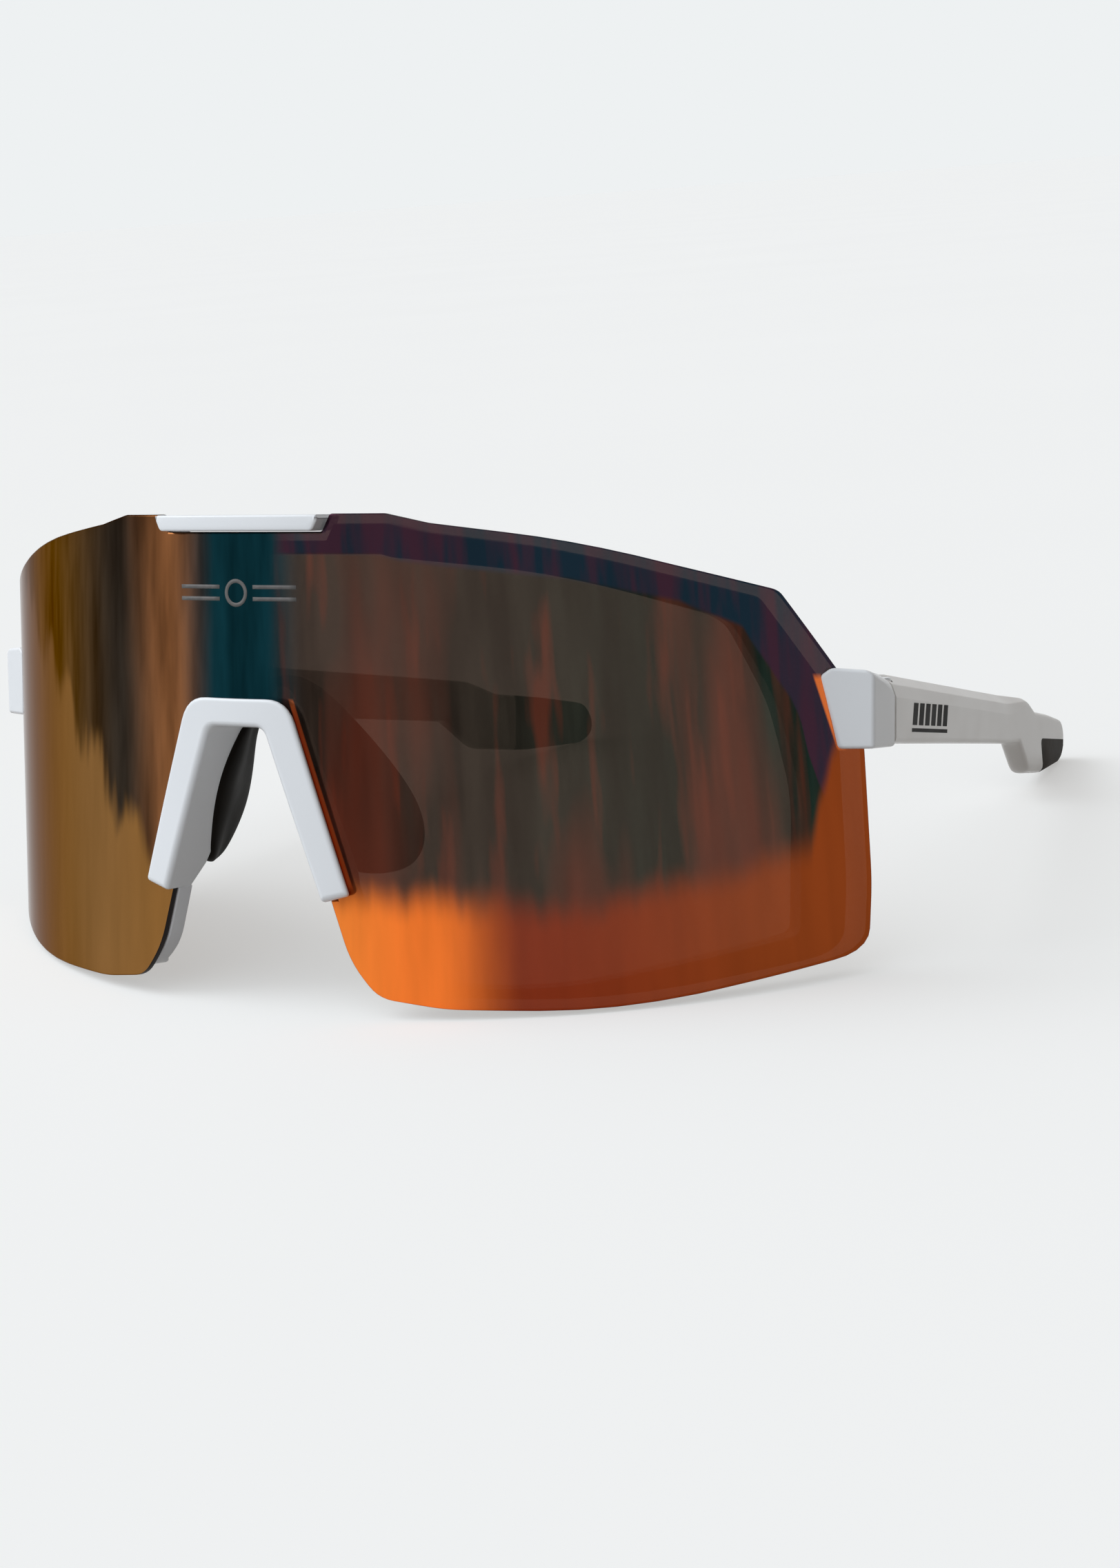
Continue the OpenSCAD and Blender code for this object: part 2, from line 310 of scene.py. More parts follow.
# A ramp across the lens runs from this far left of the middle to as far right
ramp_half = 70
along = span(nodes, link, across, -ramp_half / 1000, ramp_half / 1000)


def tints(stops):
    """A soft-edged colour ramp across the lens."""
    node = ramp(nodes, [((x + ramp_half) / (2 * ramp_half), colour) for x, colour in stops], "EASE")
    link(along, node.inputs[0])
    return node


def blended(fac, a, b, kind="FLOAT"):
    """Runs from a to b as fac goes from 0 to 1."""
    node = nodes.new("ShaderNodeMix")
    node.data_type = kind
    sockets = {"FLOAT": (2, 3, 0), "RGBA": (6, 7, 2)}[kind]
    link(fac, node.inputs[0])
    link(a, node.inputs[sockets[0]])
    link(b, node.inputs[sockets[1]])
    return node.outputs[sockets[2]]


# Coat colour with painted reflection of the surroundings, above and at the foot
upper_coat_and_reflection_zone, foot = tints(upper_coat_and_reflection_tints), tints(foot_coat_and_floor_reflection_tints)


def line(stops):
    """A height in millimetres that changes across the lens."""
    highest = 64.0
    node = ramp(nodes, [((x + ramp_half) / (2 * ramp_half), (h / highest,) * 3) for x, h in stops])
    link(along, node.inputs[0])
    return math_node(nodes, link, "MULTIPLY", node.outputs["Color"], highest)


def flat_tint(colour):
    """One colour, to be blended with others over the surface."""
    node = nodes.new("ShaderNodeRGB")
    node.outputs[0].default_value = (*colour, 1)
    return node.outputs[0]


# Painted reflection: upright streaks of the surroundings mirrored in the coating, broad and fine red ones
# among them on the right
reflection_streak = noise(nodes, link, stretched(nodes, link, place, (300, 300, 9)), 1.0, 3, 0.55)
shade = span(nodes, link, reflection_streak, 0.32, 0.68, 0.62, 1.45)
tone = nodes.new("ShaderNodeVectorMath")
tone.operation = "SCALE"
link(upper_coat_and_reflection_zone.outputs["Color"], tone.inputs[0])
link(shade, tone.inputs["Scale"])
upper = tone.outputs[0]
red_side = span(nodes, link, parts.outputs["X"], 0.005, 0.007)
red_tint = flat_tint((0.15, 0.03, 0.015))
for narrow, tall, start, full, most in ((110, 8, 0.46, 0.62, 0.6), (430, 11, 0.56, 0.74, 0.55)):
    reds = noise(nodes, link, stretched(nodes, link, place, (narrow, narrow, tall)), 1.0, 2, 0.5)
    reds = math_node(nodes, link, "MULTIPLY", span(nodes, link, reds, start, full, 0.0, most), red_side)
    upper = blended(reds, upper, red_tint, "RGBA")
# Painted shade: a dark band where the shaded rim shows through the lens from behind
over_painted_rim_shade = math_node(nodes, link, "SUBTRACT", height, line(painted_rim_shade_foot))
to_painted_rim_shade = span(nodes, link, over_painted_rim_shade, -0.4, 0.4, kind="SMOOTHSTEP")
plum = span(nodes, link, reflection_streak, 0.40, 0.60)
painted_rim_shade = blended(plum, flat_tint((0.01, 0.025, 0.04)), flat_tint((0.05, 0.02, 0.035)), "RGBA")
upper = blended(math_node(nodes, link, "MULTIPLY", to_painted_rim_shade, red_side), upper, painted_rim_shade, "RGBA")
# The bottom colours, coat with painted floor reflection, their top edge ragged, most of all on the left
ragged = noise(nodes, link, stretched(nodes, link, place, (260, 260, 24)), 1.0, 2, 0.5)
ragged = math_node(nodes, link, "SUBTRACT", ragged, 0.5)
uneven = span(nodes, link, parts.outputs["X"], -0.030, -0.008, 26.0, 6.0)
edge_at = math_node(nodes, link, "MULTIPLY_ADD", ragged, uneven, line(foot_reach))
over_edge = math_node(nodes, link, "SUBTRACT", edge_at, height)
to_foot = span(nodes, link, over_edge, -3.5, 3.5, kind="SMOOTHERSTEP")
# Painted reflection streaks, faint at the foot
foot_reflection_streaks = nodes.new("ShaderNodeVectorMath")
foot_reflection_streaks.operation = "SCALE"
link(foot.outputs["Color"], foot_reflection_streaks.inputs[0])
link(span(nodes, link, reflection_streak, 0.32, 0.68, 0.93, 1.07), foot_reflection_streaks.inputs["Scale"])
colour = blended(to_foot, upper, foot_reflection_streaks.outputs[0], "RGBA")
solid = blended(to_foot, upper_coat_and_reflection_zone.outputs["Alpha"], foot.outputs["Alpha"])


def painted_gleam_beside(slope, x_at_zero, wide):
    """How much painted reflection of a white edge, a thin orange gleam, lies on the coat beside it."""
    edge = math_node(nodes, link, "MULTIPLY_ADD", height, slope, x_at_zero)
    far = math_node(nodes, link, "MULTIPLY", edge, -1.0)
    off = math_node(nodes, link, "MULTIPLY_ADD", parts.outputs["X"], 1000.0, far)
    return span(nodes, link, math_node(nodes, link, "ABSOLUTE", off), wide, wide * 0.6)


def between(start, fade_in, fade_out, end):
    """One between fade_in and fade_out, nothing below start and above end."""
    return math_node(nodes, link, "MULTIPLY", span(nodes, link, height, start, fade_in),
                     span(nodes, link, height, end, fade_out))


# Painted reflection: an orange gleam along the bridge's right leg, and along the slanted end of the right end
# block
by_leg = math_node(nodes, link, "MULTIPLY", painted_gleam_beside(-0.3375, 19.2975, 0.42),
                   between(11.6, 12.4, 34.6, 35.6))
by_block = math_node(nodes, link, "MULTIPLY", painted_gleam_beside(-0.22, 72.758, 0.40),
                     between(28.6, 29.2, 37.6, 38.4))
gleam = math_node(nodes, link, "MAXIMUM", by_leg, by_block)
# Lays the painted orange reflection into the coat colour
colour = blended(gleam, colour, flat_tint((0.75, 0.17, 0.04)), "RGBA")
mirror = nodes.new("ShaderNodeBsdfPrincipled")
mirror.inputs["Metallic"].default_value = 1.0
mirror.inputs["Roughness"].default_value = 0.12
mirror.inputs["Specular Tint"].default_value = (0.46, 0.38, 0.35, 1)
link(colour, mirror.inputs["Base Color"])
smoke = nodes.new("ShaderNodeBsdfTransparent")
smoke.inputs["Color"].default_value = (0.62, 0.50, 0.43, 1)
mix = nodes.new("ShaderNodeMixShader")
link(solid, mix.inputs[0])
link(smoke.outputs[0], mix.inputs[1])
link(mirror.outputs[0], mix.inputs[2])
link(mix.outputs[0], out.inputs[0])

# The wearer's side is plain dark smoke
inside, nodes, link, out = tree("smoke_inside")
place = nodes.new("ShaderNodeTexCoord").outputs["Object"]
tint = ramp(nodes, [(0.3, (0.035, 0.026, 0.022)), (0.7, (0.050, 0.034, 0.028))])
link(noise(nodes, link, place, 60.0), tint.inputs[0])
gloss = nodes.new("ShaderNodeBsdfPrincipled")
gloss.inputs["Roughness"].default_value = 0.1
link(tint.outputs["Color"], gloss.inputs["Base Color"])
clear = nodes.new("ShaderNodeBsdfTransparent")
clear.inputs["Color"].default_value = (0.82, 0.72, 0.66, 1)
mix = nodes.new("ShaderNodeMixShader")
mix.inputs[0].default_value = 0.15
link(clear.outputs[0], mix.inputs[1])
link(gloss.outputs[0], mix.inputs[2])
link(mix.outputs[0], out.inputs[0])

# The cut edge is the smoke plastic itself, almost black
cut, nodes, link, out = tree("smoke_edge")
place = nodes.new("ShaderNodeTexCoord").outputs["Object"]
tint = ramp(nodes, [(0.3, (0.010, 0.008, 0.008)), (0.7, (0.022, 0.015, 0.013))])
link(noise(nodes, link, place, 300.0), tint.inputs[0])
gloss = nodes.new("ShaderNodeBsdfPrincipled")
gloss.inputs["Roughness"].default_value = 0.4
gloss.inputs["Specular IOR Level"].default_value = 0.1
link(tint.outputs["Color"], gloss.inputs["Base Color"])
link(gloss.outputs[0], out.inputs[0])

for material in (coat, inside, cut):
    lens.data.materials.append(material)
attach(lens, "front")
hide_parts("lens")

# A plain grey print high on the lens: a ring between two pairs of bars
print_t = 0.02
print_r = lens_r + print_t
ring_x, ring_z, ring_steps = -0.6, 48.6, 40
turns = [math.tau * k / ring_steps for k in range(ring_steps)]
print_verts = [bent(ring_x + r * math.cos(turn), ring_z + r * math.sin(turn), print_r)
               for r in (1.25, 1.75) for turn in turns]
print_faces = [[k, (k + 1) % ring_steps, ring_steps + (k + 1) % ring_steps, ring_steps + k]
               for k in range(ring_steps)]
bar_steps = 6
for start, end in ((-9.6, -3.2), (2.0, 8.4)):
    for low, high in ((47.6, 48.1), (49.1, 49.6)):
        first = len(print_verts)
        for k in range(bar_steps + 1):
            x = start + (end - start) * k / bar_steps
            print_verts += [bent(x, low, print_r), bent(x, high, print_r)]
        print_faces += [[first + 2 * k, first + 2 * k + 2, first + 2 * k + 3, first + 2 * k + 1]
                        for k in range(bar_steps)]
lens_print = piece("lens_print", print_verts, print_faces)
turned_forward(lens_print)
solidify(lens_print, print_t)
ink, nodes, link, out = tree("grey_ink")
place = nodes.new("ShaderNodeTexCoord").outputs["Object"]
tint = ramp(nodes, [(0.3, (0.085, 0.080, 0.078)), (0.7, (0.12, 0.115, 0.11))])
link(noise(nodes, link, place, 900.0, 3), tint.inputs[0])
matt = nodes.new("ShaderNodeBsdfPrincipled")
matt.inputs["Roughness"].default_value = 0.5
link(tint.outputs["Color"], matt.inputs["Base Color"])
link(matt.outputs[0], out.inputs[0])
lens_print.data.materials.append(ink)
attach(lens_print, "front")

# ---------------------------------------------------------------- rim
# A full rim of white nylon behind the lens, moulded in one piece with one big window.
# It follows the lens's bend, a little inside its edge all round.
rim_t = 3.4
window_half = [
    (0, 54.1, 0), (19.3, 54.1, 1), (20.8, 53, 1), (41, 51, 140), (58, 45.2, 5), (62.3, 34.8, 30),
    (64.5, 23, 40), (64.4, 5.7, 1.5), (43, 0.35, 60), (32, -0.2, 30), (18.4, 2.2, 1.5),
    (15.6, 10.6, 8), (6, 35.2, 3), (0, 35.2, 0),
]
# Both outlines draw in towards the sides, and the rim's also at its top and bottom
notch_x, window_top, mid_z = 14, 53.4, 28
rim_half = [(x - 0.03 * max(0, x - notch_x), mid_z + (0.96 if z > 45 or z < 2.5 else 1) * (z - mid_z), r)
            for x, z, r in lens_half]
window_half = [(x - 0.02 * max(0, x - notch_x), min(z, window_top), r) for x, z, r in window_half]
rim = sheet("rim_moulding", lens_r - lens_t - 0.05, rounded(both(rim_half)), [rounded(both(window_half))])
# It is shallower each side of the nose notch, where the bridge's walls end
shallow_x, shallow_z, step, shallow = 17.6, 12.6, 1.2, 0.72
depth = rim.vertex_groups.new(name="depth")
for v in rim.data.vertices:
    x, _, z = stand.inverted() @ v.co
    across_in = min(1, max(0, (shallow_x + step - abs(x)) / step))
    up_in = min(1, max(0, (shallow_z + step - z) / step))
    depth.add([v.index], 1 - across_in * up_in, "REPLACE")
solidify(rim, rim_t, vertex_group="depth", thickness_vertex_group=shallow)
bevel(rim, 0.3)


def plastic(name, light, dark):
    """Moulded gloss plastic: a slight cloudiness, uneven gloss and a fine orange peel."""
    material, nodes, link, out = tree(name)
    place = nodes.new("ShaderNodeTexCoord").outputs["Object"]
    cloud = noise(nodes, link, place, 55.0, 2)
    tint = ramp(nodes, [(0.35, dark), (0.65, light)])
    link(cloud, tint.inputs[0])
    body = nodes.new("ShaderNodeBsdfPrincipled")
    body.inputs["IOR"].default_value = 1.5
    body.inputs["Coat Weight"].default_value = 0.2
    body.inputs["Coat Roughness"].default_value = 0.12
    link(tint.outputs["Color"], body.inputs["Base Color"])
    wear = noise(nodes, link, place, 160.0, 3)
    link(span(nodes, link, wear, 0.3, 0.7, 0.30, 0.36), body.inputs["Roughness"])
    bump = nodes.new("ShaderNodeBump")
    bump.inputs["Strength"].default_value = 0.02
    bump.inputs["Distance"].default_value = 0.0001
    link(noise(nodes, link, place, 700.0, 2), bump.inputs["Height"])
    link(bump.outputs[0], body.inputs["Normal"])
    link(body.outputs[0], out.inputs[0])
    return material


rim.data.materials.append(plastic("rim_white", (0.76, 0.77, 0.79), (0.73, 0.74, 0.765)))
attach(rim, "front")
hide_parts("frame_rim")

# ---------------------------------------------------------------- brow clip
# A short white bar that drops into the lens's top notch and locks the lens to the rim.
# Moulded in the same gloss plastic as the nose bridge, with its long edges eased.
clip_half = [(0, 58.3, 0), (12.6, 58.3, 0.5), (11.6, 56.3, 0.8), (0, 56.3, 0)]
clip_proud = 1.85
clip_behind = 4.4
clip = sheet("brow_bar", lens_r + clip_proud, rounded(both(clip_half), 4), grid=1.0)
solidify(clip, clip_proud + clip_behind)
bevel(clip, 0.3)
front_white = plastic("front_white", (0.84, 0.86, 0.88), (0.82, 0.84, 0.86))
clip.data.materials.append(front_white)
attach(clip, "front")
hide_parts("brow_clip")

# ---------------------------------------------------------------- nose bridge
# A white A-shaped bridge clipped over the nose notch: a flange that stands proud of the lens,
# and a thin wall that runs back through the notch. Gloss plastic with soft moulded edges.
flange_t = 1.8
wall_t = 1.0


def leg_x(z):
    """How far across the wall's inner face stands at height z."""
    return 12.1 - 0.373 * (z - 10.65)


def arch(inner, top, foot_x, foot_z, round_by):
    """An open path up one leg, over the top and down the other, evenly stepped."""
    corners = [(foot_x, foot_z, 0), (inner, top, round_by), (-inner, top, round_by), (-foot_x, foot_z, 0)]
    path = rounded(corners, 6, closed=False)
    leg_steps, top_steps, short = 7, 4, 3
    out = []
    for i, (a, b) in enumerate(zip(path, path[1:])):
        if (b - a).length <= short:
            count = 1
        elif i in (0, len(path) - 2):
            count = leg_steps
        else:
            count = top_steps
        out += [a.lerp(b, k / count) for k in range(count)]
    return out + [path[-1]]


def on(p, r):
    """The path's point p laid on the cylinder of radius r about the lens's axis."""
    return (p.x, lens_r - math.sqrt(r * r - p.x * p.x), p.y)


def tube(rings):
    """Vertices and faces of a closed tube through rings of equal length, its ends capped."""
    n = len(rings[0])
    verts = [v for ring in rings for v in ring]
    faces = [[i * n + k, i * n + (k + 1) % n, (i + 1) * n + (k + 1) % n, (i + 1) * n + k]
             for i in range(len(rings) - 1) for k in range(n)]
    return verts, faces + [list(range(n)), [(len(rings) - 1) * n + k for k in range(n)]]


inner_path = arch(leg_x(31.9), 31.9, 12.1, 10.35, 1.8)
wall_path = arch(leg_x(32.9) + wall_t, 32.9, 13.05, 10.75, 2.0)
outer_path = arch(8.0, 35.8, 16.2, 11.45, 4.4)
front_r = lens_r + flange_t
seat_r = lens_r + 0.03
undercut = 1.1
foot_back, wall_back, foot_top = 4.4, 7.15, 12.4
rings = []
for a, w, o in zip(inner_path, wall_path, outer_path):
    under = o + (w - o).normalized() * undercut
    back = min(wall_back, foot_back + max(0, a.y - foot_top) * 2.3)
    rings.append([
        (a.x, back, a.y), on(a, front_r), on(o, front_r), on(under, seat_r), on(w, seat_r), (w.x, back, w.y),
    ])
bridge = piece("bridge_arch", *tube(rings))
# The front edges are rounded more than the thin wall's
to_lens = stand.inverted()
work = bmesh.new()
work.from_mesh(bridge.data)
weight = work.edges.layers.float.new("bevel_weight_edge")
for edge in work.edges:
    ends = [to_lens @ v.co for v in edge.verts]
    if edge.calc_face_angle(0) > 0.6:
        in_front = all(math.hypot(p.x, lens_r - p.y) > front_r - 0.1 for p in ends)
        edge[weight] = 1.0 if in_front else 0.45
work.to_mesh(bridge.data)
work.free()
bevel(bridge, 0.85, 5)
bridge.modifiers["edges"].limit_method = "WEIGHT"
bridge.data.materials.append(front_white)
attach(bridge, "front")
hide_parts("nose_bridge")

# ---------------------------------------------------------------- nose pad
# A soft black rubber saddle pressed onto the rear edge of the bridge's wall.
# Two wings splay backwards and outwards, and a low arch joins them over the top.
pad_front = [(0, 7.25, 36.9), (3.0, 7.25, 36.0), (5.2, 7.25, 33.2), (7.0, 7.25, 29.6), (8.5, 7.25, 26.0),
             (9.75, 7.25, 22.6), (10.9, 7.25, 19.5), (12.0, 7.3, 16.0), (13.2, 7.8, 12.6)]
pad_lip = [7.25, 7.1, 6.4, 3.8, 2.4, 2.5, 3.4, 5.1, 6.8]
pad_rear = [(0, 10.8, 37.3), (3.3, 11.6, 35.9), (6.2, 13.4, 32.4), (8.5, 14.9, 29.4), (10.3, 16.9, 26.1),
            (12.1, 18.6, 22.6), (13.6, 19.3, 19.2), (14.9, 18.3, 15.6), (14.8, 14.6, 12.5)]
pad_thick = [1.2, 1.3, 1.5, 1.8, 2.0, 2.1, 2.1, 1.9, 1.5]
stations = list(zip(pad_front, pad_lip, pad_rear, pad_thick))
mirrored = [((-f[0], *f[1:]), lip, (-r[0], *r[1:]), t) for f, lip, r, t in reversed(stations[1:])]
stations = mirrored + stations
rings = []
for i, (f, lip, r, t) in enumerate(stations):
    f, r = Vector(f), Vector(r)
    before = Vector(stations[max(i - 1, 0)][2])
    after = Vector(stations[min(i + 1, len(stations) - 1)][2])
    out_way = (after - before).cross(r - f).normalized()
    if out_way.z < 0 and abs(f.x) < 3 or out_way.x * f.x < 0:
        out_way = -out_way
    # The lip laps over the inner face of the bridge's wall
    over = (leg_x(f.z) - 0.55) / abs(f.x) if abs(f.x) > 5 else 1
    lap = Vector((f.x * over, lip, f.z))
    hem = Vector((f.x * over, f.y + 0.3, f.z))
    mid = f.lerp(r, 0.5) - out_way * 0.3
    rings.append([lap, hem, mid, r, r + out_way * t * 0.9, mid + out_way * t * 1.1,
                  f + out_way * min(t, 1.6)])
pad = piece("nose_saddle_pad", *tube(rings))
soft = pad.modifiers.new("soft", "SUBSURF")
soft.levels = 3
soft.render_levels = 3


def rubber(name, light, dark):
    """Matt moulded rubber: a fine grain and a faint sheen where it is rubbed."""
    material, nodes, link, out = tree(name)
    place = nodes.new("ShaderNodeTexCoord").outputs["Object"]
    tint = ramp(nodes, [(0.3, dark), (0.7, light)])
    link(noise(nodes, link, place, 140.0, 4), tint.inputs[0])
    body = nodes.new("ShaderNodeBsdfPrincipled")
    body.inputs["Specular IOR Level"].default_value = 0.03
    link(tint.outputs["Color"], body.inputs["Base Color"])
    wear = noise(nodes, link, place, 90.0, 3)
    link(span(nodes, link, wear, 0.3, 0.7, 0.5, 0.7), body.inputs["Roughness"])
    bump = nodes.new("ShaderNodeBump")
    bump.inputs["Strength"].default_value = 0.15
    bump.inputs["Distance"].default_value = 0.0001
    link(noise(nodes, link, place, 2600.0, 2), bump.inputs["Height"])
    link(bump.outputs[0], body.inputs["Normal"])
    link(body.outputs[0], out.inputs[0])
    return material


pad.data.materials.append(rubber("pad_rubber_black", (0.011, 0.009, 0.007), (0.006, 0.005, 0.004)))
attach(pad, "front")
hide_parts("nose_pad")

# ---------------------------------------------------------------- end blocks
# A white block each side, moulded over the lens's edge and glued to the rim.
# Its front face is a flat shield with a slanted inboard end; two ears behind it hold the hinge.
sweep = math.radians(10.85)
# The temple's own frame has its origin at the block's outer rear corner, with y along the arm
temple_frame = Matrix.Translation((70.4, 40, 0)) @ Matrix.Rotation(sweep, 4, "Z")
hinge_frame = temple_frame @ Matrix.Translation((-3.2, 6, 0))
ear_low, tongue_low, tongue_high, ear_high = 29.0, 31.4, 35.0, 37.1
knuckle_r, screw_r, part_gap = 1.9, 0.7, 0.25
# Cutting prisms run from well below to well above what they cut
cut_low, cut_high = 20, 45


def side_matrix(side):
    """Puts a right-hand piece on the right (1) or, mirrored, on the left (-1)."""
    return stand @ Matrix.Diagonal((side, 1, 1, 1))


def prism(outline, low, high, place):
    """Vertices and faces of an upright prism over a plan outline, set in place."""
    return tube([[place @ Vector((x, y, z)) for x, y in outline] for z in (low, high)])


def joined(shapes):
    """Several shapes' vertices and faces as one."""
    verts, faces = [], []
    for v, f in shapes:
        faces += [[i + len(verts) for i in face] for face in f]
        verts += v
    return verts, faces


def circle(r, count=32, start=0.0, turn=360.0):
    """Plan points round a circle or, with both ends, along an arc of it; angles in degrees."""
    steps = count if turn == 360.0 else count + 1
    return [(r * math.cos(math.radians(start + turn * k / count)),
             r * math.sin(math.radians(start + turn * k / count))) for k in range(steps)]


def applied(obj):
    """Makes the object's stack part of its mesh."""
    done = bpy.data.meshes.new_from_object(obj.evaluated_get(bpy.context.evaluated_depsgraph_get()))
    obj.modifiers.clear()
    old = obj.data
    obj.data = done
    bpy.data.meshes.remove(old)


def carved(obj, helper, operation="DIFFERENCE"):
    """Cuts the helper's shape out of the object, or joins or keeps what they share."""
    cut = obj.modifiers.new("carve", "BOOLEAN")
    cut.operation = operation
    cut.solver = "EXACT"
    cut.object = helper
    bpy.context.view_layer.update()
    applied(obj)


def removed(obj):
    """Clears away a helper and its mesh."""
    mesh = obj.data
    bpy.data.objects.remove(obj)
    bpy.data.meshes.remove(mesh)


def planed(obj, a, b, c):
    """Cuts off what lies above the plane through three points, and closes the cut."""
    facing = (b - a).cross(c - a).normalized()
    if facing.z < 0:
        facing = -facing
    work = bmesh.new()
    work.from_mesh(obj.data)
    bmesh.ops.bisect_plane(work, geom=work.verts[:] + work.edges[:] + work.faces[:], dist=weld_gap,
                           plane_co=a, plane_no=facing, clear_outer=True)
    bmesh.ops.holes_fill(work, edges=[e for e in work.edges if e.is_boundary])
    bmesh.ops.recalc_face_normals(work, faces=work.faces)
    work.to_mesh(obj.data)
    work.free()


# Corners go round from the front inboard one; only that one slants, inwards and up
cap_low = [
    (66.6, 34.0, 28.9), (70.6, 35.1, 29.0), (69.75, 43.5, 28.6), (64.4, 42.45, 28.4), (62.8, 41.0, 28.4),
    (62.8, 36.0, 28.6),
]
cap_high = [
    (64.35, 31.75, 39.2), (70.6, 35.1, 38.7), (69.75, 43.5, 37.8), (64.4, 42.45, 37.8), (62.8, 41.0, 37.9),
    (62.8, 36.0, 38.6),
]
# Three points on each flat: the temple's two run on over the block, both in the temple's frame
temple_flats = [
    ((0, -5, 36.5), (0, 3.9, 34.85), (-0.6, -5, 38.1)),
    ((-0.6, -5, 38.1), (-0.6, 3.9, 36.5), (-2.5, -5, 39.4)),
]
# and one takes off the top inboard corner
corner_flat = ((64.5, 30, 38.0), (64.5, 40, 38.0), (66.2, 30, 39.35))
ear_outline = circle(knuckle_r, 20, -38, 218) + [(-knuckle_r, -3.2), (1.5, -3.2), (1.5, -1.16)]
for side, word in ((1, "right"), (-1, "left")):
    here = side_matrix(side)
    ears = [prism(ear_outline, low, high, hinge_frame)
            for low, high in ((ear_low, tongue_low - part_gap), (tongue_high + part_gap, ear_high))]
    block = piece(f"end_block_{word}_shell", *tube([cap_low, cap_high]), here)
    for flat in temple_flats:
        planed(block, *(here @ temple_frame @ Vector(p) for p in flat))
    planed(block, *(here @ Vector(p) for p in corner_flat))
    bevel(block, 0.5, 4, 32)
    applied(block)
    ear = piece(f"ears_{word}", *joined(ears), here)
    bevel(ear, 0.12, 2, 50)
    applied(ear)
    hole = piece("hole", *prism(circle(screw_r + 0.04, 24), cut_low, cut_high, hinge_frame), here)
    carved(ear, hole)
    removed(hole)
    bpy.context.view_layer.objects.active = block
    with bpy.context.temp_override(active_object=block, selected_editable_objects=[block, ear]):
        bpy.ops.object.join()
    block.data.materials.clear()
    block.data.materials.append(front_white)
    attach(block, "front")
    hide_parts(f"end_block_{word}")

# ---------------------------------------------------------------- hinge screws and inserts
# A 1.4 mm cross-head steel screw on each side, turned into a brass insert in the lower ear.
# They sit inside the hinge, so their turned shapes are the part's own and only get their finish.


def metal(name, light, dark, rough):
    """Turned metal: fine rings round the hinge axis and a little tarnish."""
    material, nodes, link, out = tree(name)
    place = nodes.new("ShaderNodeTexCoord").outputs["Object"]
    tint = ramp(nodes, [(0.3, dark), (0.7, light)])
    link(noise(nodes, link, place, 700.0, 4), tint.inputs[0])
    body = nodes.new("ShaderNodeBsdfPrincipled")
    body.inputs["Metallic"].default_value = 1.0
    link(tint.outputs["Color"], body.inputs["Base Color"])
    rings = noise(nodes, link, stretched(nodes, link, place, (200, 200, 9000)), 1.0, 2)
    link(span(nodes, link, rings, 0.3, 0.7, *rough), body.inputs["Roughness"])
    bump = nodes.new("ShaderNodeBump")
    bump.inputs["Strength"].default_value = 0.1
    bump.inputs["Distance"].default_value = 0.00005
    link(rings, bump.inputs["Height"])
    link(bump.outputs[0], body.inputs["Normal"])
    link(body.outputs[0], out.inputs[0])
    return material


steel = metal("screw_steel_turned", (0.62, 0.62, 0.63), (0.42, 0.42, 0.43), (0.22, 0.4))
brass = metal("insert_brass_turned", (0.78, 0.56, 0.22), (0.58, 0.38, 0.14), (0.25, 0.42))
for word in ("right", "left"):
    for node, material in ((f"hinge_screw_{word}", steel), (f"hinge_insert_{word}", brass)):
        for slot in frame["nodes"][node].material_slots:
            slot.material = material

# ---------------------------------------------------------------- temples
# Two white nylon arms that lean inwards towards the ears, faceted along the upper outer edge.
# Behind the ear each drops to a rounded lobe. A tongue in front turns between the end block's ears.
temple_side = [
    (3.9, 28.9, 0), (3.9, 37.8, 0), (92, 28.8, 8), (99.5, 26.2, 6), (112, 24.8, 20), (123, 23.2, 3.5),
    (126, 18.5, 6), (122.5, 16, 5), (107, 15.7, 30), (94, 16.8, 4.5), (86.5, 22.1, 3), (40, 25.95, 0),
]
side_path = rounded(temple_side, 12)


def heights(s):
    """Bottom and top of the temple's side outline at a distance s behind the corner."""
    cuts = []
    for a, b in zip(side_path, side_path[1:] + side_path[:1]):
        if (a.x - s) * (b.x - s) <= 0 and a.x != b.x:
            cuts.append(a.y + (b.y - a.y) * (s - a.x) / (b.x - a.x))
    return min(cuts), max(cuts)


stations = [3.95, 10, 20, 30, 40, 50, 60, 68, 75, 80, 83, 85, 86, 87, 88, 89, 90, 91, 92, 93, 94, 95, 96.5,
            98, 99.5, 101, 103, 105, 108, 111, 114, 117, 119, 120.5]
rear_end = max(p.x for p in side_path)
stations += [rear_end - short for short in (4.2, 3.2, 2.4, 1.7, 1.1, 0.65, 0.3, 0.08)]
tail_round = 1.3
rings = []
for s in stations:
    low, high = heights(s)
    # The arm thins by a millimetre over its length
    thick = 4.2 - min(max(s - 14, 0) / 80, 1)
    # The facets fade out where the arm steps down to its lobe
    fade = 1 - 0.75 * min(max((s - 80) / 14, 0), 1)
    f = min(fade, (high - low) / 6)
    # The rear end rounds off in plan as well
    short = max(tail_round - (rear_end - s), 0)
    tuck = tail_round - math.sqrt(tail_round ** 2 - short ** 2)
    soft = 0.45 + 0.6 * (1 - fade)
    section = [
        (-tuck, low, 0.9 + 1.2 * (1 - fade)), (-tuck, high - 3.0 * f, 0.7),
        (-tuck - 0.6 * f, high - 1.35 * f, 0.5), (-tuck - 2.3 * f - 0.2, high, soft),
        (tuck - thick, high, soft), (tuck - thick, low, 0.8 + 0.6 * (1 - fade)),
    ]
    rings.append([temple_frame @ Vector((p.x, s, p.y)) for p in rounded(section, 4)])
arm_shape = tube(rings)

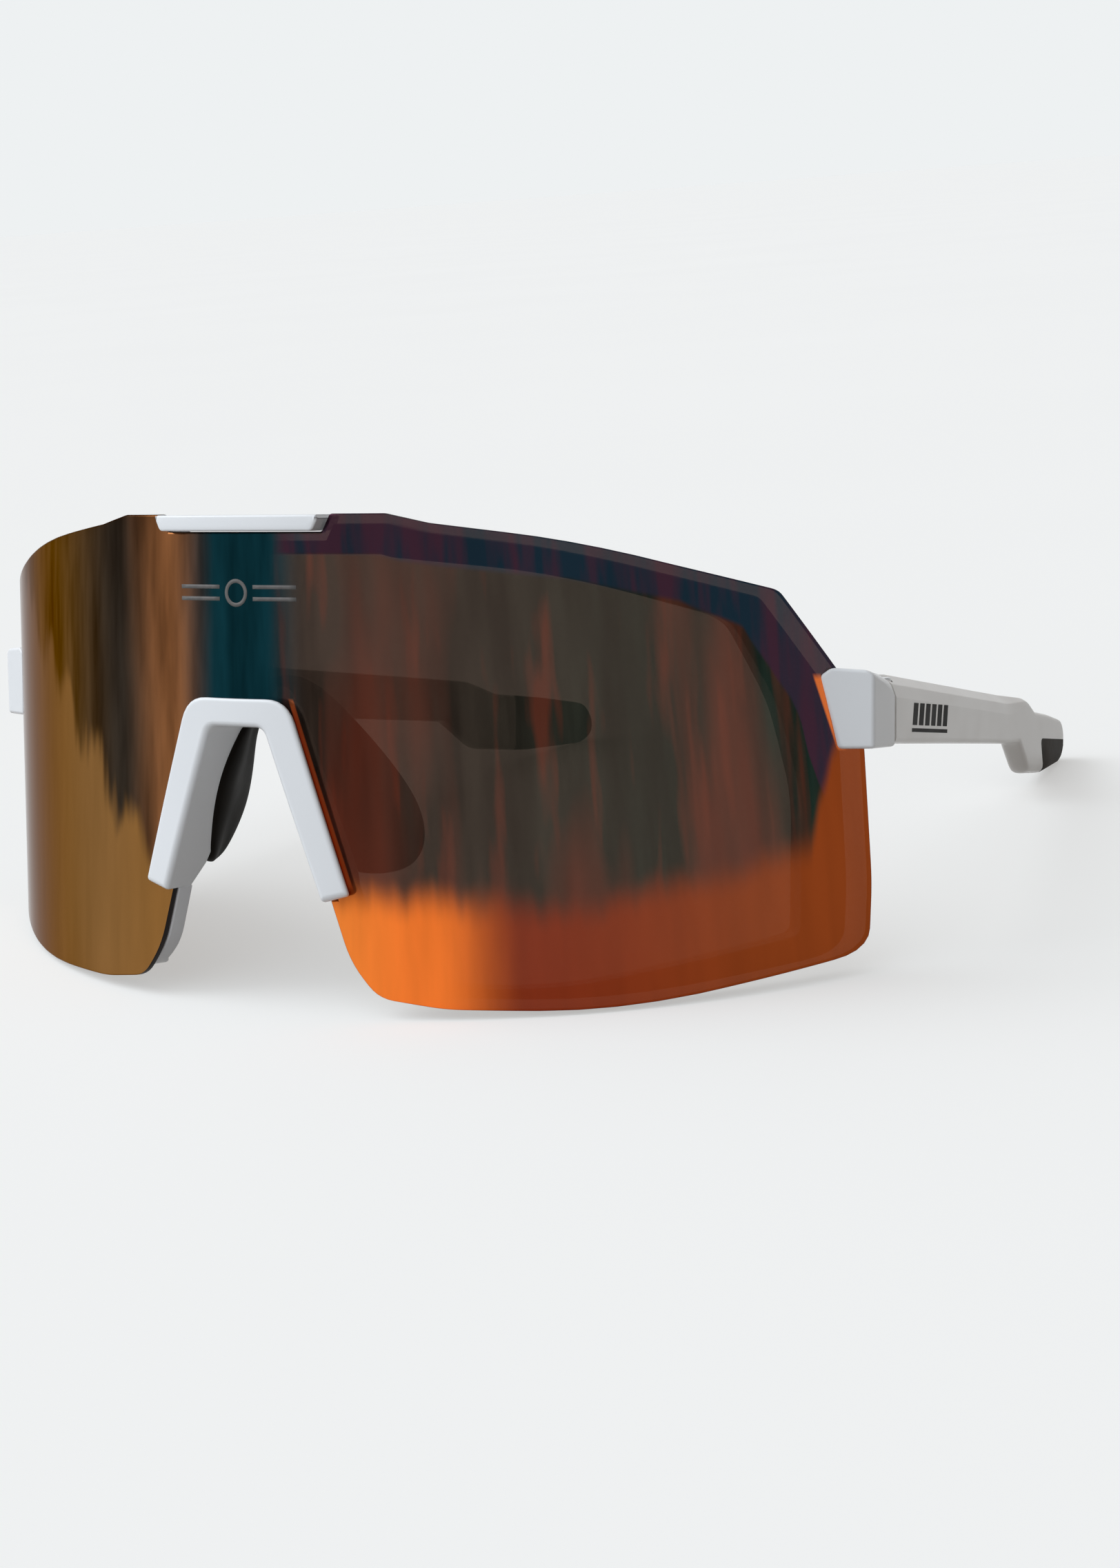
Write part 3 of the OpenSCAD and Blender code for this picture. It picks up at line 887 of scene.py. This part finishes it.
# The rubber end: a corner of the outer side, and the whole inner side behind the step
rubber_outline = rounded([(103.6, 21.6, 1), (109, 10, 0), (140, 10, 0), (140, 18.4, 0)], 4)
patch = tube([[temple_frame @ Vector((d, p.x, p.y)) for p in rubber_outline] for d in (0.5, -3.5)])
lining = prism([(-2.0, 104), (-8, 104), (-8, 140), (-2.0, 140)], 5, cut_high, temple_frame)
neck_outline = [(-10, -4), (1.75, -4), (1.75, 0), (-10, 0)]
tongue_outline = circle(knuckle_r, 24, 180, 180) + [(knuckle_r, 3.2), (-1.0, 3.2), (-1.0, 1.6)]
# A plain printed device on the outer side: six slanted blocks over a rule, sloped as the arm is
blocks = [[(s, 30.6), (s + 2.5, 30.6), (s + 3.3, 33.5), (s + 0.8, 33.5)]
          for s in (13, 16.6, 20.2, 23.8, 27.4, 31)]
blocks.append([(12.6, 29.7), (33.7, 29.7), (33.8, 30.2), (12.7, 30.2)])
device = joined([tube([[temple_frame @ Vector((d, s, z - 0.085 * (s - 13))) for s, z in block]
                       for d in (-0.05, 0.03)]) for block in blocks])

# Painted shade: the same white plastic as the front pieces, made darker and warmer to stand for the shade on
# the arms
temple_white_painted_shade = plastic("temple_white_painted_shade", (0.72, 0.69, 0.655), (0.69, 0.66, 0.625))
tip_black = rubber("tip_rubber_black", (0.030, 0.023, 0.017), (0.018, 0.014, 0.010))
print_black = rubber("print_black", (0.030, 0.028, 0.027), (0.018, 0.017, 0.016))
for side, word in ((1, "right"), (-1, "left")):
    here = side_matrix(side)
    body = f"{word}_temple"
    arm = piece(f"temple_arm_{word}", *arm_shape, here)
    tip = bpy.data.objects.new(f"tip_rubber_{word}", arm.data.copy())
    bpy.context.scene.collection.objects.link(tip)
    zone = piece("zone", *patch, here)
    lining_zone = piece("lining_zone", *lining, here)
    carved(zone, lining_zone, "UNION")
    carved(tip, zone, "INTERSECT")
    carved(arm, zone)
    # Room for the ears and their neck at the front end
    room = piece("room", *prism(circle(knuckle_r + part_gap), cut_low, cut_high, hinge_frame), here)
    neck = piece("neck", *prism(neck_outline, cut_low, cut_high, hinge_frame), here)
    carved(arm, room)
    carved(arm, neck)
    # The tongue, drilled for the screw
    tongue = piece("tongue", *prism(tongue_outline, tongue_low, tongue_high, hinge_frame), here)
    hole = piece("hole", *prism(circle(screw_r + 0.06, 24), cut_low, cut_high, hinge_frame), here)
    carved(tongue, hole)
    carved(arm, tongue, "UNION")
    for helper in (zone, lining_zone, room, neck, tongue, hole):
        removed(helper)
    for part in (arm, tip):
        part.data.set_sharp_from_angle(angle=math.radians(28))
        part.modifiers.new("normals", "WEIGHTED_NORMAL").keep_sharp = True
    arm.data.materials.clear()
    arm.data.materials.append(temple_white_painted_shade)
    tip.data.materials.clear()
    tip.data.materials.append(tip_black)
    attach(arm, body)
    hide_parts(f"temple_{word}")
    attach(tip, body)
    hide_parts(f"temple_tip_{word}")
    mark = piece(f"temple_print_{word}", *device, here)
    mark.data.materials.append(print_black)
    mark.data.polygons.foreach_set("use_smooth", [False] * len(mark.data.polygons))
    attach(mark, body)

# ---------------------------------------------------------------- studio
# A pale sweep with no horizon, a soft key from the front left, and the camera.
sky = (0.855, 0.880, 0.888, 1)
reach, floor_z = 60, -0.0001
floor_corners = [(x * reach, y * reach, floor_z) for x, y in ((-1, -1), (1, -1), (1, 1), (-1, 1))]
floor = bpy.data.meshes.new("floor")
floor.from_pydata(floor_corners, [], [[0, 1, 2, 3]])
floor = bpy.data.objects.new("floor", floor)
bpy.context.scene.collection.objects.link(floor)
paper, nodes, link, out = tree("paper")
place = nodes.new("ShaderNodeTexCoord").outputs["Object"]
tint = ramp(nodes, [(0.3, (0.495, 0.505, 0.505)), (0.7, (0.505, 0.515, 0.515))])
link(noise(nodes, link, place, 3.0), tint.inputs[0])
matt = nodes.new("ShaderNodeBsdfDiffuse")
link(tint.outputs["Color"], matt.inputs["Color"])
lit = nodes.new("ShaderNodeEmission")
lit.inputs["Color"].default_value = (0.444, 0.440, 0.431, 1)
lit.inputs["Strength"].default_value = 1.0
pale_paper = nodes.new("ShaderNodeAddShader")
link(matt.outputs[0], pale_paper.inputs[0])
link(lit.outputs[0], pale_paper.inputs[1])
# It throws less light back up at the glasses than it shows
grey = nodes.new("ShaderNodeBsdfDiffuse")
grey.inputs["Color"].default_value = (0.32, 0.30, 0.28, 1)
ray = nodes.new("ShaderNodeLightPath")
mix = nodes.new("ShaderNodeMixShader")
link(ray.outputs["Is Diffuse Ray"], mix.inputs[0])
link(pale_paper.outputs[0], mix.inputs[1])
link(grey.outputs[0], mix.inputs[2])
link(mix.outputs[0], out.inputs[0])
floor.data.materials.append(paper)

key_way = Vector((-0.45, -0.75, 0.48)).normalized()
sun = bpy.data.lights.new("key", "SUN")
sun.energy = 0.9
sun.angle = math.radians(40)
sun.color = (0.96, 0.98, 1.0)
sun = bpy.data.objects.new("key", sun)
sun.rotation_euler = Vector((-0.75, -0.35, 0.8)).to_track_quat("Z", "Y").to_euler()
bpy.context.scene.collection.objects.link(sun)

# The room: brightest towards the key, with soft bands in what the gloss shows
world = bpy.data.worlds.new("studio")
bpy.context.scene.world = world
world.use_nodes = True
nodes = world.node_tree.nodes
link = world.node_tree.links.new
nodes.clear()
out = nodes.new("ShaderNodeOutputWorld")
way = nodes.new("ShaderNodeTexCoord").outputs["Generated"]
toward = nodes.new("ShaderNodeVectorMath")
toward.operation = "DOT_PRODUCT"
toward.inputs[1].default_value = key_way
link(way, toward.inputs[0])
facing = span(nodes, link, toward.outputs["Value"], -0.2, 0.8)
side_light = ramp(nodes, [(0.0, (0.072, 0.056, 0.044)), (0.5, (0.47, 0.46, 0.45)), (1.0, (1.25, 1.32, 1.40))])
link(facing, side_light.inputs[0])
fill = nodes.new("ShaderNodeBackground")
link(side_light.outputs["Color"], fill.inputs["Color"])
bands = noise(nodes, link, stretched(nodes, link, way, (3.0, 3.0, 0.5)), 1.0, 3)
gleam = nodes.new("ShaderNodeBackground")
link(span(nodes, link, bands, 0.3, 0.7, 0.88, 1.12), gleam.inputs["Strength"])
pale = nodes.new("ShaderNodeBackground")
pale.inputs["Color"].default_value = sky
ray = nodes.new("ShaderNodeLightPath")
first = nodes.new("ShaderNodeMixShader")
link(ray.outputs["Is Glossy Ray"], first.inputs[0])
link(fill.outputs[0], first.inputs[1])
link(gleam.outputs[0], first.inputs[2])
second = nodes.new("ShaderNodeMixShader")
link(ray.outputs["Is Camera Ray"], second.inputs[0])
link(first.outputs[0], second.inputs[1])
link(pale.outputs[0], second.inputs[2])
link(second.outputs[0], out.inputs[0])
bpy.context.scene.view_settings.view_transform = "Standard"

eye = Vector((0.214625, -0.352285, 0.098608))
aim = Vector((0.019839, -0.035568, 0.020193))
camera = bpy.data.cameras.new("camera")
camera.lens = 64.28
camera.sensor_width = 36
camera.clip_start = 0.01
camera = bpy.data.objects.new("camera", camera)
level = (aim - eye).to_track_quat("-Z", "Y").to_matrix().to_4x4()
tilt = Matrix.Rotation(math.radians(-4.278), 4, "Z")
camera.matrix_world = Matrix.Translation(eye) @ level @ tilt
bpy.context.scene.collection.objects.link(camera)
bpy.context.scene.camera = camera
